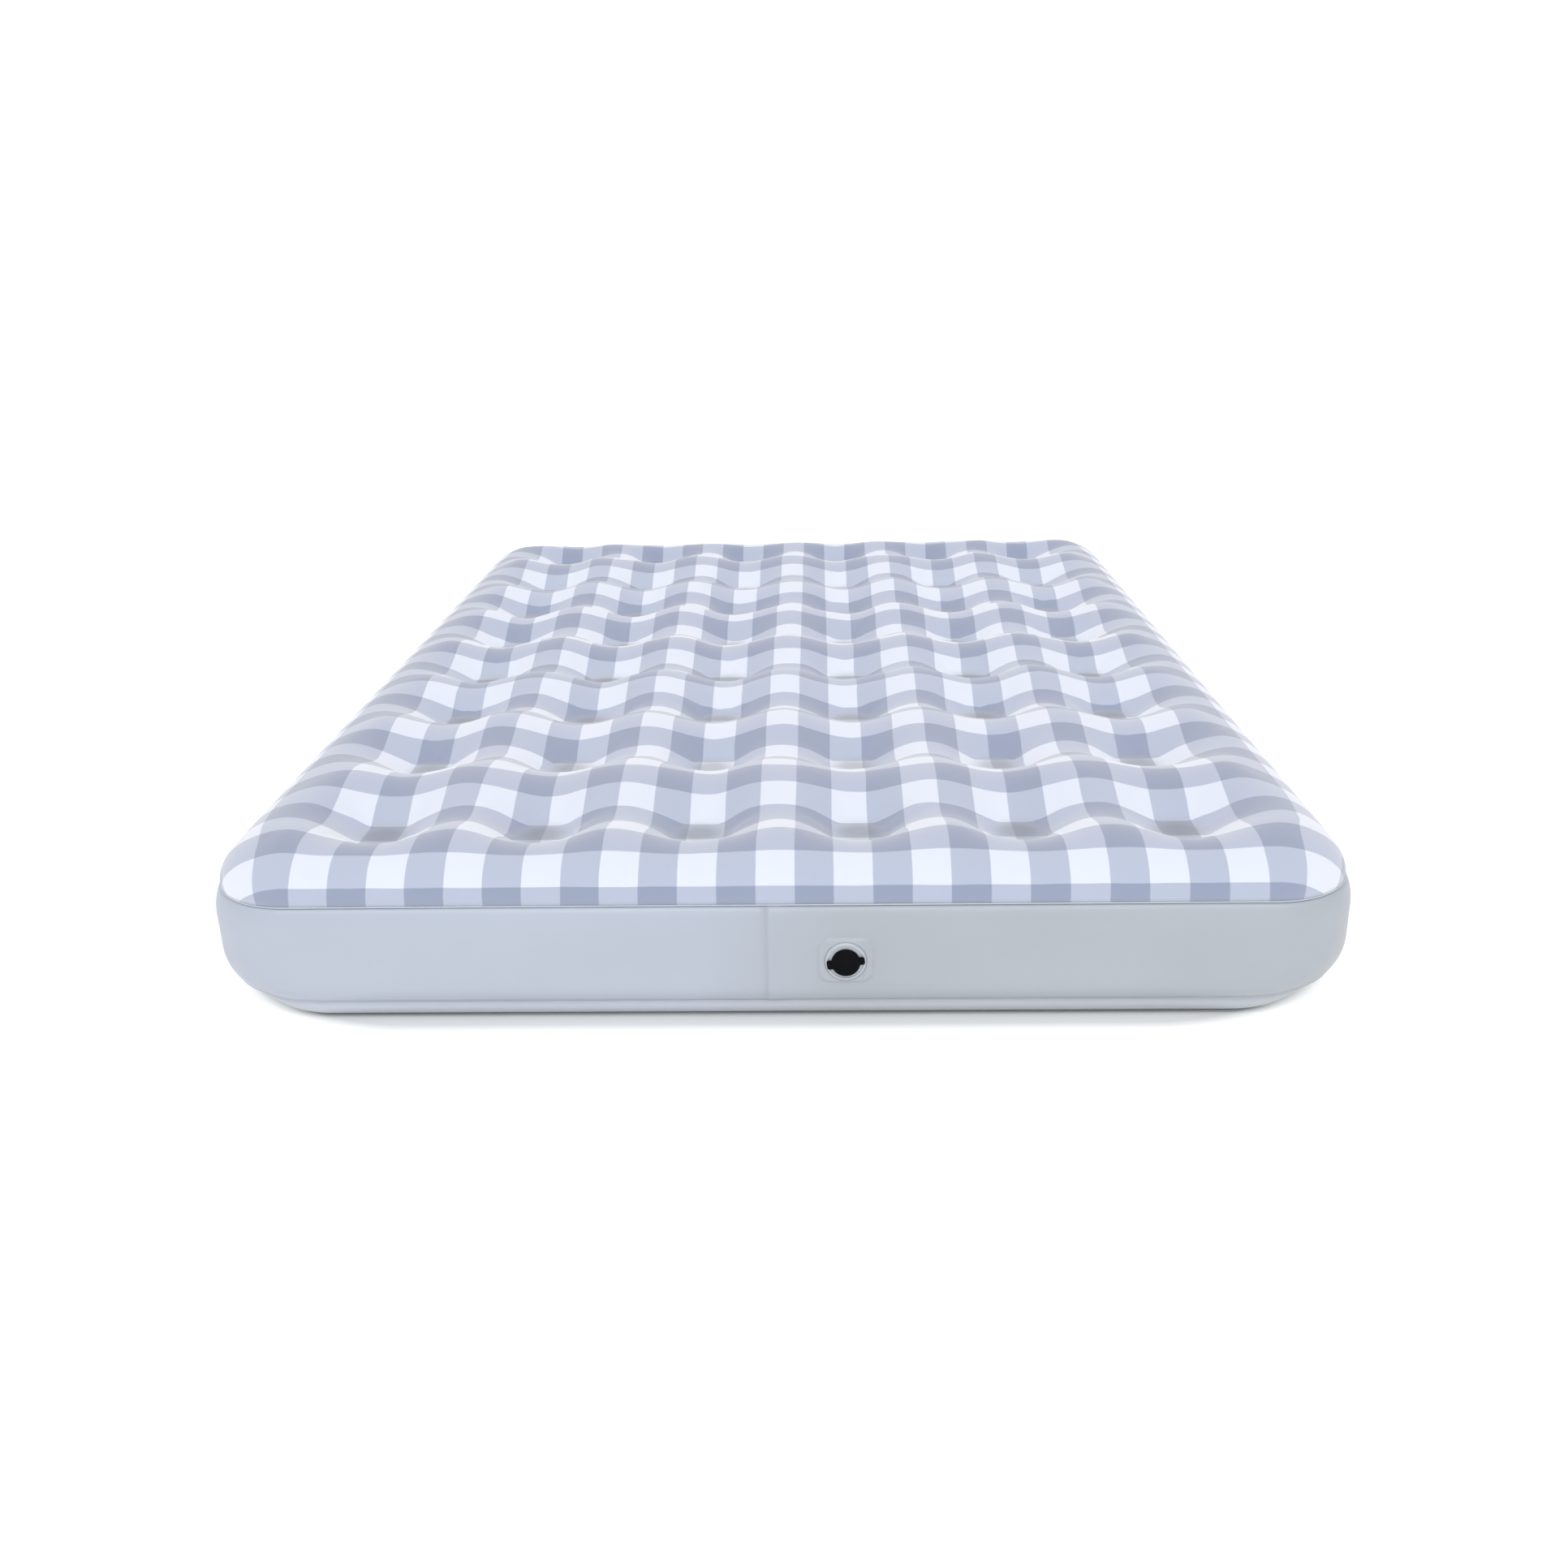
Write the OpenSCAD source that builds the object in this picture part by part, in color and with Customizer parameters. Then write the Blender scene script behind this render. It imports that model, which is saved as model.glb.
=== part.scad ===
// Queen size air mattress. A quilted top sheet, a plain side wall and a bottom sheet are welded
// round their edges, rows of inner coils tie top and bottom together, and a filling valve with
// a twist-off cap sits low in one end wall.
// X runs across the bed and Y along it, with the valve in the end wall at -Y. Z is up. The
// origin lies on the floor under the middle of the bed. All sizes are in millimetres.

/* [Bed] */
// Width over the side walls
bed_w = 1524; // [1380:1:1680]
// Length over the end walls
bed_l = 2032; // [1880:1:2200]
// Height of the crests of the top sheet
crest_z = 240; // [225:1:280]
// Height of the seam between the top sheet and the wall
top_seam_z = 166; // [150:1:185]
// Height of the seam between the bottom sheet and the wall
low_seam_z = 28; // [20:1:34]
// Corner radius of the wall in plan
corner_r = 128; // [115:1:200]
// How far the wall is drawn in at the top seam
top_draw = 10; // [4:0.5:16]
// How far the wall is drawn in at the lower seam
low_draw = 12; // [4:0.5:16]
// Thickness of the sheets
film_t = 0.8; // [0.5:0.1:1.5]
// Width of the welded seams
seam_w = 6; // [4:0.5:10]
// Middle of the lap that closes the wall into a ring
lap_x = -13; // [-60:1:10]
// Width of that lap
lap_w = 14; // [8:1:24]

/* [Quilting] */
// Coils across the bed
coil_columns = 6; // [4:1:7]
// Coils along the bed
coil_rows = 8; // [5:1:9]
// From the side wall to the edge of the quilted field
side_margin = 108; // [90:1:150]
// From the end wall to the edge of the quilted field
end_margin = 88; // [80:1:130]
// How much further out the first and last rows of coils stand
end_row_shift = 28; // [0:1:30]
// Depth of the top dimples below the crests
top_dimple = 44; // [35:1:52]
// How far the crest sinks between two dimples of one column, and outside the end rows
saddle_drop = 12; // [4:0.5:16]
// Radius where a top dimple turns over into the crest
shoulder_r = 72; // [60:1:80]
// How far that shoulder lies below the crests
shoulder_drop = 22; // [14:0.5:28]
// Depth of the dimples in the bottom sheet
low_dimple = 12; // [6:0.5:16]
// Radius where a bottom dimple meets the floor
foot_r = 60; // [54:1:72]

/* [Coils] */
// Outer radius of a coil
coil_r = 24; // [18:0.5:26]
// Outer radius of the lips that weld a coil to the sheets
lip_r = 31; // [29:0.5:36]
// Thickness of the reinforcing rings on the lips
ring_t = 1.2; // [0.8:0.1:2]
// Diameter of the vent through each coil
vent_d = 14; // [8:1:20]

/* [Valve] */
// Distance of the valve from the middle of the end wall
valve_x = 88; // [60:1:300]
// Height of the valve axis
valve_z = 92; // [86:1:100]
// Radius of the bore that the cap plugs
plug_bore_r = 16.5; // [16:0.25:18]
// Depth of the plug bore behind the wall
plug_bore_l = 7; // [6:0.5:9]
// Radius of the bore that seats a pump nozzle
nozzle_r = 12; // [10:0.25:13]
// Length of the nozzle bore
nozzle_l = 15; // [12:0.5:18]
// Wall of the valve body round the plug bore
body_wall = 3.2; // [2.6:0.1:4]
// Thickness of the rim of the valve body
rim_t = 2.5; // [2:0.1:3.5]
// Width of the seat under that rim
seat_width = 3; // [2.5:0.1:4]
// Height of the seat above the face of the wall
seat_h = 1.5; // [1:0.1:2]
// Thickness of the gaskets
gasket_t = 1.2; // [0.8:0.1:1.6]
// Wall of the raised collar round the seat
collar_wall = 4; // [3.5:0.25:6]
// How far the collar stands above the rim
collar_lip = 0.8; // [0:0.1:1.5]
// Rounding of the collar's outer edge
collar_round = 3; // [2:0.25:3.5]
// Length of the throat behind the wall
throat_l = 14; // [10:0.5:18]
// Wall of the throat
throat_t = 2; // [1.5:0.1:3]
// Weld of the flange to the wall at either side of the collar
flange_side = 8; // [6:0.5:14]
// Weld of the flange to the wall above and below the collar
flange_end = 3; // [2:0.5:6]
// Corner radius of the flange
flange_corner_r = 16; // [8:1:20]
// Thickness of the flange
flange_t = 1.2; // [0.8:0.1:2]

/* [Cap] */
// How far the cap laps over the rim of its bore
cap_lap = 2; // [1.6:0.1:3]
// Thickness of the cap
cap_t = 3.2; // [2.6:0.1:4.5]
// Rounding of the cap's edge
cap_round = 1.2; // [0.6:0.1:1.4]
// Length of the plug under the cap
plug_l = 10; // [7:0.5:11]
// Wall of the plug
plug_t = 2.2; // [1.6:0.1:3]
// Rim round the dish in the face of the cap
dish_rim = 6; // [4:0.5:9]
// Depth of that dish
dish_depth = 0.6; // [0.4:0.1:1]
// How far the two grip ears reach past the cap
ear_reach = 6; // [4:0.5:8]
// Width of the ear on the left
left_ear_w = 13; // [10:0.5:15]
// Width of the ear on the right
right_ear_w = 11; // [9:0.5:15]
// Rounding of the ears
ear_round = 3; // [2:0.25:4]
// How far the ears sit above the underside of the cap
ear_rise = 0.9; // [0.5:0.1:1.2]
// Tilt of the ears when the cap is closed
ear_tilt = 8; // [0:1:20]

/* [Check flap] */
// How far the flap laps over the nozzle bore
flap_lap = 2; // [1:0.1:2.5]
// Thickness of the flap
flap_t = 1.6; // [1:0.1:2]
// Radius of the hinge pin
pin_r = 1.2; // [1:0.05:1.4]
// Wall of the hinge knuckle and lugs round the pin
knuckle_wall = 1.2; // [0.9:0.05:1.5]
// From the edge of the flap to the axis of the hinge pin
hinge_reach = 1; // [0.5:0.1:1.4]
// Length of the hinge knuckle on the flap
knuckle_l = 10; // [8:0.5:10.5]
// Thickness of each hinge lug on the valve body
lug_t = 3; // [2:0.1:4]

/* [Hidden] */
$fn = 64;
cut = 1;
gap = 0.3;
running_gap = 0.05;
pinned_gap = 0.02;

// Coils and quilting. Weld discs reach a margin past the lips, and the lining's discs a little
// further. The sheets roll over to their seams in steps, and fuller rolls are squarer.
weld_margin = 5;
lining_margin = 1.5;
pitch_x = (bed_w - 2 * side_margin) / coil_columns;
pitch_y = (bed_l - 2 * end_margin) / coil_rows;
disc_r = lip_r + weld_margin;
grid_count = (coil_columns + 1) * (coil_rows + 1);
coil_low_z = low_dimple + film_t;
coil_top_z = crest_z - top_dimple - film_t;
corner_steps = 4;
edge_count = 4 * corner_steps + 2 * coil_rows + 4 * coil_columns;
roll_steps = 3;
lining_roll_steps = 2;
top_fullness = 2;
low_fullness = 4;
lining_fullness = 2;
past_mids = [1, 4];

// Valve, from the plug bore outward
plug_r = plug_bore_r - gap;
cap_r = plug_bore_r + cap_lap;
body_r = plug_bore_r + body_wall;
throat_r = body_r + gap;
seat_r = throat_r + seat_width;
collar_r = seat_r + collar_wall;
wall_hole_r = collar_r + gap;
flange_w = 2 * (wall_hole_r + flange_side);
flange_h = 2 * (wall_hole_r + flange_end);
round_step = 15;

// Places along the valve axis, counted outward from the face of the wall
flange_back = -film_t - flange_t;
rim_w = seat_h + gasket_t;
rim_face_w = rim_w + rim_t;
collar_h = rim_face_w + collar_lip;
cap_w = rim_face_w + gasket_t;
cap_face_w = cap_w + cap_t;
nozzle_mouth_w = -plug_bore_l;
body_end_w = nozzle_mouth_w - nozzle_l;

// Flap hinge
flap_r = nozzle_r + flap_lap;
knuckle_r = pin_r + knuckle_wall;
lug_x = knuckle_l / 2 + gap;
hinge_y = flap_r + hinge_reach;
hinge_w = body_end_w - knuckle_r - 2 * gap;

// Wall section: a flat band for the valve, and an arc to the seam above and below it
flat_edge = 6;
flat_low_z = valve_z - flange_h / 2 - flat_edge;
flat_top_z = valve_z + flange_h / 2 + flat_edge;
arc_steps = 5;

ROWS = [for (row = [1 : coil_rows]) str("coil_row_", row)];

function coil_x(i) = (i - (coil_columns - 1) / 2) * pitch_x;
function coil_y(j) = (j - (coil_rows - 1) / 2) * pitch_y
    + (j == 0 ? -end_row_shift : j == coil_rows - 1 ? end_row_shift : 0);
function cell_edge_y(j) = j % coil_rows == 0
    ? (j / coil_rows - 0.5) * coil_rows * pitch_y
    : (coil_y(j - 1) + coil_y(j)) / 2;
function between(a, b, share) = a + (b - a) * share;
function roll_height(share, fullness) = pow(1 - pow(share, fullness), 1 / fullness);

// Counter-clockwise closed path of one rectangle with round corners, starting at +X, -Y. Each
// corner has corner_steps + 1 points, and the sides are divided as the cells along them.
function rounded_path(half_x, half_y, r) =
    let (corners = [[1, -1], [1, 1], [-1, 1], [-1, -1]],
         arc = function(side, step)
             let (angle = 90 * (side - 1 + step / corner_steps))
             [corners[side % 4].x * (half_x - r) + r * cos(angle),
              corners[side % 4].y * (half_y - r) + r * sin(angle)])
    [for (side = [0 : 3]) each concat(
        [for (step = [0 : corner_steps]) arc(side, step)],
        let (parts = side % 2 == 0 ? coil_rows : 2 * coil_columns)
        [for (k = [1 : parts - 1])
            between(arc(side, corner_steps), arc(side + 1, 0), k / parts)])];

// A quilted surface stands on the plane of its seam. Each coil has a flat weld disc, rings[0],
// and may have further rings out to the edges of its cell, all as [radius, height]. With six
// sides to a ring, the cells share mid points on the edges that run along X. Past the outer
// cells the surface rolls over to the seam.
function has_mids(sides) = sides == 6;
function grid_at(i, j) = i + (coil_columns + 1) * j;
function mid_at(sides, i, j) = has_mids(sides) ? grid_count + i + coil_columns * j : grid_at(i, j);
function cells_start(sides) =
    grid_count + (has_mids(sides) ? coil_columns * (coil_rows + 1) : 0);
function ring_at(sides, ring_count, i, j, ring) =
    let (start = cells_start(sides) + ((i + coil_columns * j) * ring_count + ring) * sides)
    [for (k = [0 : sides - 1]) start + k];
function roll_at(sides, ring_count, step) =
    let (start = cells_start(sides) + coil_columns * coil_rows * ring_count * sides)
    [for (k = [0 : edge_count - 1]) start + (step - 1) * edge_count + k];
function cell_edge(sides, i, j) = has_mids(sides)
    ? [grid_at(i + 1, j + 1), mid_at(sides, i, j + 1), grid_at(i, j + 1),
       grid_at(i, j), mid_at(sides, i, j), grid_at(i + 1, j)]
    : [grid_at(i + 1, j + 1), grid_at(i, j + 1), grid_at(i, j), grid_at(i + 1, j)];
function at_corner(i, j) = [for (step = [0 : corner_steps]) grid_at(i, j)];
function field_edge(sides) = concat(
    at_corner(coil_columns, 0),
    [for (j = [1 : coil_rows - 1]) grid_at(coil_columns, j)],
    at_corner(coil_columns, coil_rows),
    [for (i = [coil_columns - 1 : -1 : 0]) each concat(
        [mid_at(sides, i, coil_rows)], i > 0 ? [grid_at(i, coil_rows)] : [])],
    at_corner(0, coil_rows),
    [for (j = [coil_rows - 1 : -1 : 1]) grid_at(0, j)],
    at_corner(0, 0),
    [for (i = [0 : coil_columns - 1]) each concat(
        i > 0 ? [grid_at(i, 0)] : [], [mid_at(sides, i, 0)])]);

// Triangles between two closed loops, and across one, seen from above. The quads in crossed are
// split along their other diagonal.
function strip(outer, inner, crossed = []) =
    let (n = len(outer))
    [for (k = [0 : n - 1]) let (m = (k + 1) % n) each
        len(search(k, crossed)) > 0
            ? [[inner[k], inner[m], outer[k]], [inner[m], outer[m], outer[k]]]
            : concat(
                [[inner[k], outer[m], outer[k]]],
                inner[k] == inner[m] ? [] : [[inner[k], inner[m], outer[m]]])];
function fan(loop) = [for (k = [1 : len(loop) - 2]) [loop[0], loop[k + 1], loop[k]]];
function turned_over(faces, shift) = [for (f = faces) [f[2] + shift, f[1] + shift, f[0] + shift]];

function quilt_points(sides, rings, crest, saddle, half_x, half_y, r, roll, fullness) =
    let (seam_path = rounded_path(half_x, half_y, r),
         field_path = rounded_path(coil_columns * pitch_x / 2, coil_rows * pitch_y / 2, 0))
    concat(
        [for (j = [0 : coil_rows], i = [0 : coil_columns])
            [coil_x(i - 0.5), cell_edge_y(j), crest]],
        has_mids(sides) ? [for (j = [0 : coil_rows], i = [0 : coil_columns - 1])
            [coil_x(i), cell_edge_y(j), crest - saddle]] : [],
        [for (j = [0 : coil_rows - 1], i = [0 : coil_columns - 1], ring = rings,
              k = [0 : sides - 1])
            let (angle = 360 * (k + 0.5) / sides)
            [coil_x(i) + ring[0] * cos(angle), coil_y(j) + ring[0] * sin(angle), ring[1]]],
        [for (step = [1 : roll], k = [0 : edge_count - 1])
            let (share = sin(90 * step / roll), p = between(field_path[k], seam_path[k], share))
            [p.x, p.y, crest * roll_height(share, fullness)]]);

function quilt_faces(sides, ring_count, roll) = concat(
    [for (j = [0 : coil_rows - 1], i = [0 : coil_columns - 1]) each concat(
        fan(ring_at(sides, ring_count, i, j, 0)),
        [for (ring = [1 : 1 : ring_count - 1]) each strip(
            ring_at(sides, ring_count, i, j, ring), ring_at(sides, ring_count, i, j, ring - 1))],
        strip(cell_edge(sides, i, j), ring_at(sides, ring_count, i, j, ring_count - 1),
              has_mids(sides) ? past_mids : []))],
    strip(roll_at(sides, ring_count, 1), field_edge(sides)),
    [for (step = [2 : 1 : roll]) each strip(
        roll_at(sides, ring_count, step), roll_at(sides, ring_count, step - 1))]);

// One quilted sheet: the outer surface, a plainer lining under it, and the seam between them
module quilted_sheet(crest, dimple, saddle, shoulder, draw, fullness) {
    half_x = bed_w / 2 - draw;
    half_y = bed_l / 2 - draw;
    r = corner_r - draw;
    rings = [[disc_r, crest - dimple], shoulder];
    lining = [[(disc_r + lining_margin) * sqrt(2), crest - dimple - film_t]];
    outer = quilt_points(6, rings, crest, saddle, half_x, half_y, r, roll_steps, fullness);
    inner = quilt_points(4, lining, crest - saddle - film_t, 0, half_x - seam_w,
                         half_y - seam_w, r - seam_w, lining_roll_steps, lining_fullness);
    seam = [for (k = roll_at(4, 1, lining_roll_steps)) k + len(outer)];
    polyhedron(
        concat(outer, inner),
        concat(
            quilt_faces(6, 2, roll_steps),
            turned_over(quilt_faces(4, 1, lining_roll_steps), len(outer)),
            turned_over(strip(roll_at(6, 2, roll_steps), seam), 0)));
}

module top_sheet() {
    color("lightsteelblue")
    translate([0, 0, top_seam_z])
        quilted_sheet(crest_z - top_seam_z, top_dimple, saddle_drop,
                      [shoulder_r, crest_z - top_seam_z - shoulder_drop], top_draw, top_fullness);
}

module bottom_sheet() {
    color("slategray")
    translate([0, 0, low_seam_z])
        mirror([0, 0, 1])
        quilted_sheet(low_seam_z, low_dimple, 0, [foot_r, low_seam_z], low_draw, low_fullness);
}

// Section of the wall, with its outer face at x = 0 and a weld lip turned in at each seam
module wall_section() {
    function bow_r(rise, draw) = (rise * rise + draw * draw) / (2 * draw);
    function bow(z, r, thick, rise) =
        let (end = asin(rise / (r - thick)))
        [for (k = [0 : arc_steps])
            let (angle = end * k / arc_steps)
            [(r - thick) * cos(angle) - r, z + (r - thick) * sin(angle)]];
    function flipped(list) = [for (k = [len(list) - 1 : -1 : 0]) list[k]];

    top_rise = top_seam_z - flat_top_z;
    low_rise = flat_low_z - low_seam_z;
    top_r = bow_r(top_rise, top_draw);
    low_r = bow_r(low_rise, low_draw);
    outer = concat(
        flipped(bow(flat_low_z, low_r, 0, -low_rise)),
        bow(flat_top_z, top_r, 0, top_rise));
    inner = concat(
        flipped(bow(flat_top_z, top_r, film_t, top_rise - film_t)),
        bow(flat_low_z, low_r, film_t, film_t - low_rise));
    top_lip = [for (z = [top_seam_z, top_seam_z - film_t]) [-top_draw - seam_w, z]];
    low_lip = [for (z = [low_seam_z + film_t, low_seam_z]) [-low_draw - seam_w, z]];
    polygon(concat(outer, top_lip, inner, low_lip));
}

module side_wall() {
    inner_x = bed_w / 2 - corner_r;
    inner_y = bed_l / 2 - corner_r;
    color("lightslategray")
    difference() {
        union() {
            for (side = [0 : 3]) {
                half = side % 2 == 0 ? inner_y : inner_x;
                reach = side % 2 == 0 ? inner_x : inner_y;
                rotate(90 * side)
                    translate([reach, 0, 0]) {
                        rotate([90, 0, 0])
                            linear_extrude(2 * half, center = true)
                            translate([corner_r, 0])
                            wall_section();
                        translate([0, half, 0])
                            rotate_extrude(angle = 90)
                            translate([corner_r, 0])
                            wall_section();
                    }
            }
            translate([lap_x, -bed_l / 2 - film_t / 2, 0])
                rotate([90, 0, -90])
                linear_extrude(lap_w, center = true)
                wall_section();
        }
        on_valve(-film_t - cut)
            cylinder(r = wall_hole_r, h = film_t + 2 * cut);
    }
}

// Coils and their reinforcing rings
module coil() {
    coil_h = coil_top_z - coil_low_z;
    difference() {
        union() {
            cylinder(r = coil_r, h = coil_h);
            for (z = [0, coil_h - film_t])
                translate([0, 0, z])
                    cylinder(r = lip_r, h = film_t);
        }
        translate([0, 0, -cut])
            cylinder(r = coil_r - film_t, h = coil_h + 2 * cut);
        translate([0, 0, coil_h / 2])
            rotate([90, 0, 0])
            cylinder(d = vent_d, h = 2 * (coil_r + cut), center = true);
    }
}

module coil_row(j) {
    color("whitesmoke")
    for (i = [0 : coil_columns - 1])
        translate([coil_x(i), coil_y(j), coil_low_z])
            coil();
}

module weld_rings(z) {
    color("gainsboro")
    for (i = [0 : coil_columns - 1], j = [0 : coil_rows - 1])
        translate([coil_x(i), coil_y(j), z])
            difference() {
                cylinder(r = lip_r, h = ring_t);
                translate([0, 0, -cut])
                    cylinder(r = coil_r + gap, h = ring_t + 2 * cut);
            }
}

module top_weld_rings() {
    weld_rings(coil_top_z - film_t - ring_t);
}

module low_weld_rings() {
    weld_rings(coil_low_z + film_t);
}

// Valve frame: x to the right and y up on the end wall, z outward from its face
module on_valve(w = 0) {
    translate([valve_x, -bed_l / 2, valve_z])
        rotate([90, 0, 0])
        translate([0, 0, w])
        children();
}

module rounded_square(w, h, r) {
    square([w - 2 * r, h], center = true);
    square([w, h - 2 * r], center = true);
    for (x = [r - w / 2, w / 2 - r], y = [r - h / 2, h / 2 - r])
        translate([x, y])
            circle(r);
}

module washer(outer_r, inner_r, h) {
    difference() {
        cylinder(r = outer_r, h = h);
        translate([0, 0, -cut])
            cylinder(r = inner_r, h = h + 2 * cut);
    }
}

module valve_base() {
    throat_end = flange_back - throat_l;
    collar_edge = [for (angle = [0 : round_step : 90])
        [collar_r - collar_round * (1 - cos(angle)), collar_h - collar_round * (1 - sin(angle))]];
    color("aliceblue")
    on_valve() {
        rotate_extrude()
            polygon(concat(
                [[throat_r, throat_end], [throat_r + throat_t, throat_end],
                 [throat_r + throat_t, flange_back], [collar_r, flange_back]],
                collar_edge,
                [[seat_r, collar_h], [seat_r, seat_h], [throat_r, seat_h]]));
        translate([0, 0, flange_back])
            linear_extrude(flange_t)
            difference() {
                rounded_square(flange_w, flange_h, flange_corner_r);
                circle(throat_r + throat_t / 2);
            }
    }
}

module body_gasket() {
    color("dimgray")
    on_valve(seat_h)
        washer(seat_r - gap, throat_r, gasket_t);
}

module valve_body() {
    color("black")
    on_valve()
        difference() {
            union() {
                translate([0, 0, body_end_w])
                    cylinder(r = body_r, h = rim_face_w - body_end_w);
                translate([0, 0, rim_w])
                    cylinder(r = seat_r - gap, h = rim_t);
                for (x = [-lug_x - lug_t, lug_x])
                    translate([x, hinge_y, hinge_w])
                        hinge_lug();
            }
            translate([0, 0, nozzle_mouth_w])
                cylinder(r = plug_bore_r, h = rim_face_w - nozzle_mouth_w + cut);
            translate([0, 0, body_end_w - cut])
                cylinder(r = nozzle_r, h = nozzle_l + 2 * cut);
        }
}

// Lug with a round end and a hole for the hinge pin, reaching back to the end of the body
module hinge_lug() {
    difference() {
        union() {
            rotate([0, 90, 0])
                cylinder(r = knuckle_r, h = lug_t);
            translate([0, -knuckle_r, 0])
                cube([lug_t, 2 * knuckle_r, body_end_w - hinge_w]);
        }
        translate([-cut, 0, 0])
            rotate([0, 90, 0])
            cylinder(r = pin_r + pinned_gap, h = lug_t + 2 * cut);
    }
}

module check_flap() {
    color("silver")
    on_valve()
        difference() {
            union() {
                translate([0, 0, body_end_w - running_gap - flap_t])
                    linear_extrude(flap_t)
                    flap_outline();
                translate([-knuckle_l / 2, hinge_y, hinge_w])
                    rotate([0, 90, 0])
                    cylinder(r = knuckle_r, h = knuckle_l);
            }
            translate([-knuckle_l / 2 - cut, hinge_y, hinge_w])
                rotate([0, 90, 0])
                cylinder(r = pin_r + running_gap, h = knuckle_l + 2 * cut);
        }
}

// Disc with a strap to the hinge, cut back beside the strap to clear the lugs
module flap_outline() {
    lug_room = flap_r - knuckle_l / 2;
    difference() {
        circle(flap_r);
        for (x = [-flap_r, knuckle_l / 2])
            translate([x, hinge_y - knuckle_r - gap])
                square([lug_room, flap_r]);
    }
    translate([-knuckle_l / 2, 0])
        square([knuckle_l, hinge_y]);
}

module flap_pin() {
    pin_l = 2 * (lug_x + lug_t);
    color("gray")
    on_valve()
        translate([-pin_l / 2, hinge_y, hinge_w])
        rotate([0, 90, 0])
        cylinder(r = pin_r, h = pin_l);
}

module cap_gasket() {
    color("dimgray")
    on_valve(rim_face_w)
        washer(cap_r, plug_r + gap, gasket_t);
}

module valve_cap() {
    dish_r = cap_r - dish_rim;
    rim_arc = [for (angle = [0 : round_step : 90])
        [cap_r - cap_round * (1 - cos(angle)), cap_face_w - cap_round * (1 - sin(angle))]];
    color("black")
    on_valve() {
        rotate_extrude()
            polygon(concat(
                [[0, cap_w], [plug_r - plug_t, cap_w], [plug_r - plug_t, cap_w - plug_l],
                 [plug_r, cap_w - plug_l], [plug_r, cap_w], [cap_r, cap_w]],
                rim_arc,
                [[dish_r, cap_face_w], [dish_r - dish_depth, cap_face_w - dish_depth],
                 [0, cap_face_w - dish_depth]]));
        translate([0, 0, cap_w + ear_rise])
            linear_extrude(cap_t - ear_rise - cap_round)
            rotate(ear_tilt)
            difference() {
                union() {
                    cap_ear(right_ear_w);
                    mirror([1, 0])
                        cap_ear(left_ear_w);
                }
                circle(cap_r - cap_round);
            }
    }
}

module cap_ear(w) {
    tip = cap_r + ear_reach;
    translate([tip / 2, 0])
        rounded_square(tip, w, ear_round);
}

top_sheet();
side_wall();
bottom_sheet();
for (j = [0 : coil_rows - 1])
    coil_row(j);
top_weld_rings();
low_weld_rings();
valve_base();
valve_body();
body_gasket();
check_flap();
flap_pin();
cap_gasket();
valve_cap();
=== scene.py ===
"""Dresses the air mattress: a quilted gingham top, a plain vinyl wall and base, and a valve.

Metres throughout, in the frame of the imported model: X across the bed, Y along it with the valve in
the end wall at -Y, and Z up from the floor.
"""
import math
from types import SimpleNamespace

import bmesh
import bpy
import numpy as np
from mathutils import Matrix, Vector


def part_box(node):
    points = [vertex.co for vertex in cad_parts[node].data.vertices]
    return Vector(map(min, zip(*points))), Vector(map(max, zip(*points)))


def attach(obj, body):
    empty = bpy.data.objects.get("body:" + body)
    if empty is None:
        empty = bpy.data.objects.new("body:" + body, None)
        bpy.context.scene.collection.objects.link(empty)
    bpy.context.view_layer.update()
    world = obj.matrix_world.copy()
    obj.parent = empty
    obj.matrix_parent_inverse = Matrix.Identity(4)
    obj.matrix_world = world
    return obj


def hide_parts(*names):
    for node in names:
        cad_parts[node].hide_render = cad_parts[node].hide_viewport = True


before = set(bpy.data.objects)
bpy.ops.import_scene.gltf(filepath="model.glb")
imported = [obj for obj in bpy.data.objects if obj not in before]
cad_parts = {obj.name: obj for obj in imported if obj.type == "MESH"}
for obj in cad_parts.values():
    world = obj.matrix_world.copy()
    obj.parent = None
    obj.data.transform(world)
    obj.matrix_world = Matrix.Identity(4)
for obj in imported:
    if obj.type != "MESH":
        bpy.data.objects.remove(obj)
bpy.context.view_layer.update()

MM = 0.001
rng = np.random.default_rng(11)


# Places and sizes from the frame
def low(node):
    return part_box(node)[0]


def high(node):
    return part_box(node)[1]


WALL_X, WALL_Y, TOP_SEAM_Z = high("side_wall")
LOW_SEAM_Z = low("side_wall").z
TOP_X, TOP_Y, CREST_Z = high("top_sheet")
BASE_X, BASE_Y, _ = high("bottom_sheet")
TOP_DRAW = WALL_X - TOP_X
LOW_DRAW = WALL_X - BASE_X
FILM = 0.8 * MM
CORNER_R = 128 * MM

COLUMNS = 6
row_nodes = sorted(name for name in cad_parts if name.startswith("coil_row_"))
LIP_R = (high(row_nodes[0]).y - low(row_nodes[0]).y) / 2
coil_xs = np.linspace(low(row_nodes[0]).x + LIP_R, high(row_nodes[0]).x - LIP_R, COLUMNS)
coil_ys = np.array([(low(name).y + high(name).y) / 2 for name in row_nodes])
COILS = COLUMNS * len(coil_ys)
WELD_MARGIN = 5 * MM
DISC_R = LIP_R + WELD_MARGIN
DISC_TOP_Z = high(row_nodes[0]).z + FILM
DISC_LOW_Z = low(row_nodes[0]).z - FILM

VALVE_X = (low("valve_body").x + high("valve_body").x) / 2
VALVE_Z = (low("valve_body").z + high("valve_body").z) / 2
COLLAR_R = 27 * MM
FLANGE_X = (high("valve_base").x - low("valve_base").x) / 2
FLANGE_Z = (high("valve_base").z - low("valve_base").z) / 2


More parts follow.
